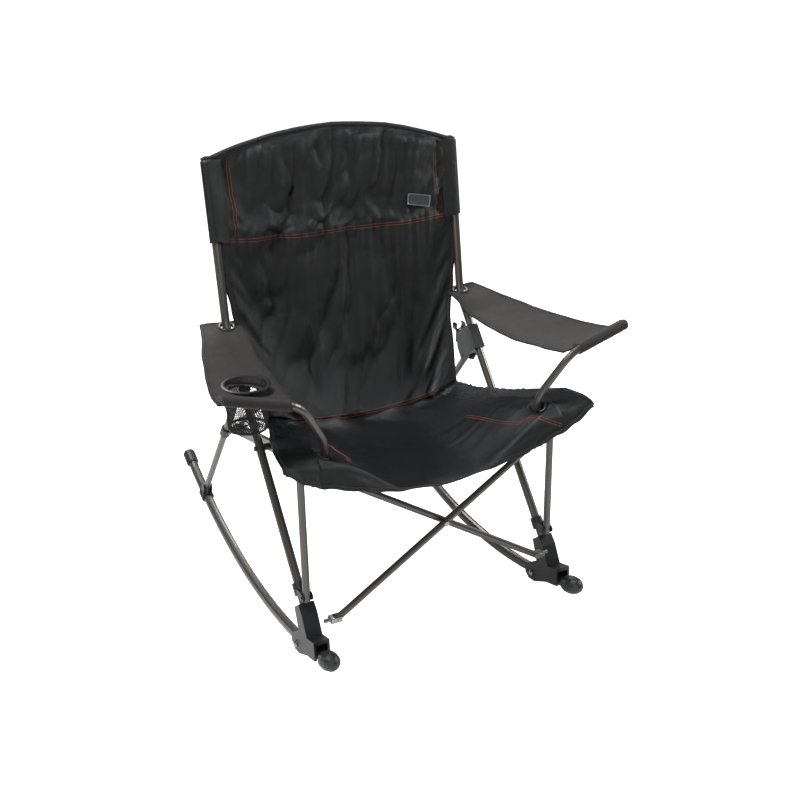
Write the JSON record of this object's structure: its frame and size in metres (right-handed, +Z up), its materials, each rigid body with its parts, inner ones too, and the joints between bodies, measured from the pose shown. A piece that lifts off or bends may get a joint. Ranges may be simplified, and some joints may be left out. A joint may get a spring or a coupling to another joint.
{
  "type": "camp rocking chair",
  "caption": "Folding camp rocking chair: tube side frames on curved rockers, crossed braces front and rear, fabric sling seat and back, sling armrests with a mesh cup holder.",
  "frame": {"origin": "floor level under the middle of the chair, directly below the lowest point of the rockers", "axes": "X runs across the chair with -X on the viewer's left when facing its front, the sitter faces -Y, +Z is up"},
  "size_m": [0.9076, 0.9387, 1.0159],
  "materials": {
    "satin_steel": "satin grey metallic paint",
    "plated": "zinc plated",
    "nylon": "moulded, fine texture",
    "polyester": "black woven polyester",
    "mesh": "black open mesh",
    "badge": "grey moulded, blank"
  },
  "bodies": {
    "post_L": {"back_post_L": "satin_steel", "post_plug_L": "nylon", "foot_bracket_L": "nylon", "foot_bolt_L": "plated", "lock_bracket_L": "nylon", "rail_rivet_L": "nylon", "grommet_L": "plated", "armrest_L": "polyester", "sling_back": "polyester", "sling_seat": "polyester", "badge_plate": "badge"},
    "rocker_L": {"rocker_tube_L": "satin_steel", "front_cap_L": "nylon", "rear_cap_L": "nylon"},
    "clamp_L": {"rocker_clamp_L": "nylon"},
    "rear_leg_L": {"rear_leg_L": "satin_steel"},
    "rear_slider_L": {"rear_slider_L": "nylon"},
    "side_rail_L": {"side_rail_L": "satin_steel"},
    "front_leg_L": {"leg_slider_L": "nylon", "front_leg_L": "satin_steel", "corner_hub_L": "nylon", "arm_tube_L": "satin_steel", "cup_ring": "plated", "mesh_cup": "mesh"},
    "front_link_L": {"front_link_L": "plated"},
    "front_link_R": {"front_link_R": "plated"},
    "front_brace_L": {"front_brace_L": "satin_steel", "front_brace_pin_R": "plated", "front_brace_rivet": "plated"},
    "front_brace_R": {"front_brace_R": "satin_steel", "front_brace_pin_L": "plated"},
    "rear_pivot_L": {"rear_brace_top_pin_L": "plated"},
    "rear_brace_R": {"rear_brace_R": "satin_steel", "rear_brace_foot_pin_R": "plated", "rear_brace_rivet": "plated"},
    "rear_brace_L": {"rear_brace_L": "satin_steel", "rear_brace_foot_pin_L": "plated", "rear_brace_top_pin_R": "plated"},
    "post_R": {"back_post_R": "satin_steel", "post_plug_R": "nylon", "foot_bracket_R": "nylon", "foot_bolt_R": "plated", "lock_bracket_R": "nylon", "rail_rivet_R": "nylon", "grommet_R": "plated", "armrest_R": "polyester"},
    "rocker_R": {"rocker_tube_R": "satin_steel", "front_cap_R": "nylon", "rear_cap_R": "nylon"},
    "clamp_R": {"rocker_clamp_R": "nylon"},
    "rear_leg_R": {"rear_leg_R": "satin_steel"},
    "rear_slider_R": {"rear_slider_R": "nylon"},
    "side_rail_R": {"side_rail_R": "satin_steel"},
    "front_leg_R": {"leg_slider_R": "nylon", "front_leg_R": "satin_steel", "corner_hub_R": "nylon", "arm_tube_R": "satin_steel"}
  },
  "joints": [
    {"name": "rocker_turn_L", "type": "hinge", "parent": "post_L", "child": "rocker_L", "pos_m": [-0.295, -0.235, 0.03577], "axis": [1, 0, 0], "range_deg": [-7.21, 0]},
    {"name": "clamp_run_L", "type": "hinge", "parent": "rocker_L", "child": "clamp_L", "pos_m": [-0.295, 0, 1.1615], "axis": [1, 0, 0], "range_deg": [-17.32, 0]},
    {"name": "rear_leg_swing_L", "type": "hinge", "parent": "post_L", "child": "rear_leg_L", "pos_m": [-0.295, 0.107, 0.459], "axis": [1, 0, 0], "range_deg": [-45.34, 0]},
    {"name": "rear_slider_run_L", "type": "slide", "parent": "rear_leg_L", "child": "rear_slider_L", "axis": [0, 0.6323, -0.7747], "range_m": [0, 0.12523]},
    {"name": "side_rail_swing_L", "type": "hinge", "parent": "post_L", "child": "side_rail_L", "pos_m": [-0.268, -0.02715, 0.39533], "axis": [1, 0, 0], "range_deg": [-50.45, 0]},
    {"name": "front_leg_run_L", "type": "slide", "parent": "post_L", "child": "front_leg_L", "axis": [0, 0.6346, 0.7729], "range_m": [0, 0.19019], "deforming": ["armrest_L"]},
    {"name": "front_link_tilt_L", "type": "hinge", "parent": "post_L", "child": "front_link_L", "pos_m": [-0.247, -0.296, 0.121], "axis": [1, 0, 0], "range_deg": [-14.43, 0]},
    {"name": "fold", "type": "hinge", "parent": "front_link_L", "child": "front_brace_L", "pos_m": [-0.247, -0.296, 0.121], "axis": [0, -1, 0], "range_deg": [0, 22.25], "deforming": ["sling_back", "sling_seat", "badge_plate"]},
    {"name": "front_brace_cross", "type": "hinge", "parent": "front_brace_L", "child": "front_brace_R", "pos_m": [0, -0.296, 0.27676], "axis": [0, 1, 0], "range_deg": [0, 44.54]},
    {"name": "front_brace_foot_R", "type": "hinge", "parent": "front_brace_R", "child": "front_link_R", "pos_m": [0.247, -0.296, 0.121], "axis": [0, -1, 0], "range_deg": [0, 22.27]},
    {"name": "front_link_tilt_R", "type": "hinge", "parent": "front_link_R", "child": "post_R", "pos_m": [0.247, -0.296, 0.121], "axis": [1, 0, 0], "range_deg": [0, 14.43]},
    {"name": "rear_pivot_tilt_L", "type": "hinge", "parent": "post_L", "child": "rear_pivot_L", "pos_m": [-0.262, 0.186, 0.67], "axis": [1, 0, 0], "range_deg": [-17.14, 0]},
    {"name": "rear_brace_top", "type": "hinge", "parent": "rear_pivot_L", "child": "rear_brace_R", "pos_m": [-0.262, 0.186, 0.67], "axis": [0, 0.9939, 0.1101], "range_deg": [0, 21.31]},
    {"name": "rear_brace_cross", "type": "hinge", "parent": "rear_brace_R", "child": "rear_brace_L", "pos_m": [0, 0.20453, 0.50271], "axis": [0, -0.9939, -0.1101], "range_deg": [0, 42.62]},
    {"name": "rocker_turn_R", "type": "hinge", "parent": "post_R", "child": "rocker_R", "pos_m": [0.295, -0.235, 0.03577], "axis": [1, 0, 0], "range_deg": [-7.21, 0]},
    {"name": "clamp_run_R", "type": "hinge", "parent": "rocker_R", "child": "clamp_R", "pos_m": [0.295, 0, 1.1615], "axis": [1, 0, 0], "range_deg": [-17.32, 0]},
    {"name": "rear_leg_swing_R", "type": "hinge", "parent": "post_R", "child": "rear_leg_R", "pos_m": [0.295, 0.107, 0.459], "axis": [1, 0, 0], "range_deg": [-45.34, 0]},
    {"name": "rear_slider_run_R", "type": "slide", "parent": "rear_leg_R", "child": "rear_slider_R", "axis": [0, 0.6323, -0.7747], "range_m": [0, 0.12523]},
    {"name": "side_rail_swing_R", "type": "hinge", "parent": "post_R", "child": "side_rail_R", "pos_m": [0.268, -0.02715, 0.39533], "axis": [1, 0, 0], "range_deg": [-50.45, 0]},
    {"name": "front_leg_run_R", "type": "slide", "parent": "post_R", "child": "front_leg_R", "axis": [0, 0.6346, 0.7729], "range_m": [0, 0.19019], "deforming": ["armrest_R"]}
  ],
  "couplings": [
    {"joint": "rocker_turn_L", "follows": "fold", "ratio": -0.32362},
    {"joint": "clamp_run_L", "follows": "fold", "ratio": -0.77759},
    {"joint": "rear_leg_swing_L", "follows": "fold", "ratio": -2.0361},
    {"joint": "rear_slider_run_L", "follows": "fold", "m_per_rad": 0.32217},
    {"joint": "side_rail_swing_L", "follows": "fold", "ratio": -2.2653},
    {"joint": "front_leg_run_L", "follows": "fold", "m_per_rad": 0.4893},
    {"joint": "front_link_tilt_L", "follows": "fold", "ratio": -0.64792},
    {"joint": "front_brace_cross", "follows": "fold", "ratio": 2},
    {"joint": "front_brace_foot_R", "follows": "fold", "ratio": 1},
    {"joint": "front_link_tilt_R", "follows": "fold", "ratio": 0.64792},
    {"joint": "rear_pivot_tilt_L", "follows": "fold", "ratio": -0.76957},
    {"joint": "rear_brace_top", "follows": "fold", "ratio": 0.95699},
    {"joint": "rear_brace_cross", "follows": "fold", "ratio": 1.914},
    {"joint": "rocker_turn_R", "follows": "fold", "ratio": -0.32362},
    {"joint": "clamp_run_R", "follows": "fold", "ratio": -0.77759},
    {"joint": "rear_leg_swing_R", "follows": "fold", "ratio": -2.0361},
    {"joint": "rear_slider_run_R", "follows": "fold", "m_per_rad": 0.32217},
    {"joint": "side_rail_swing_R", "follows": "fold", "ratio": -2.2653},
    {"joint": "front_leg_run_R", "follows": "fold", "m_per_rad": 0.4893}
  ]
}
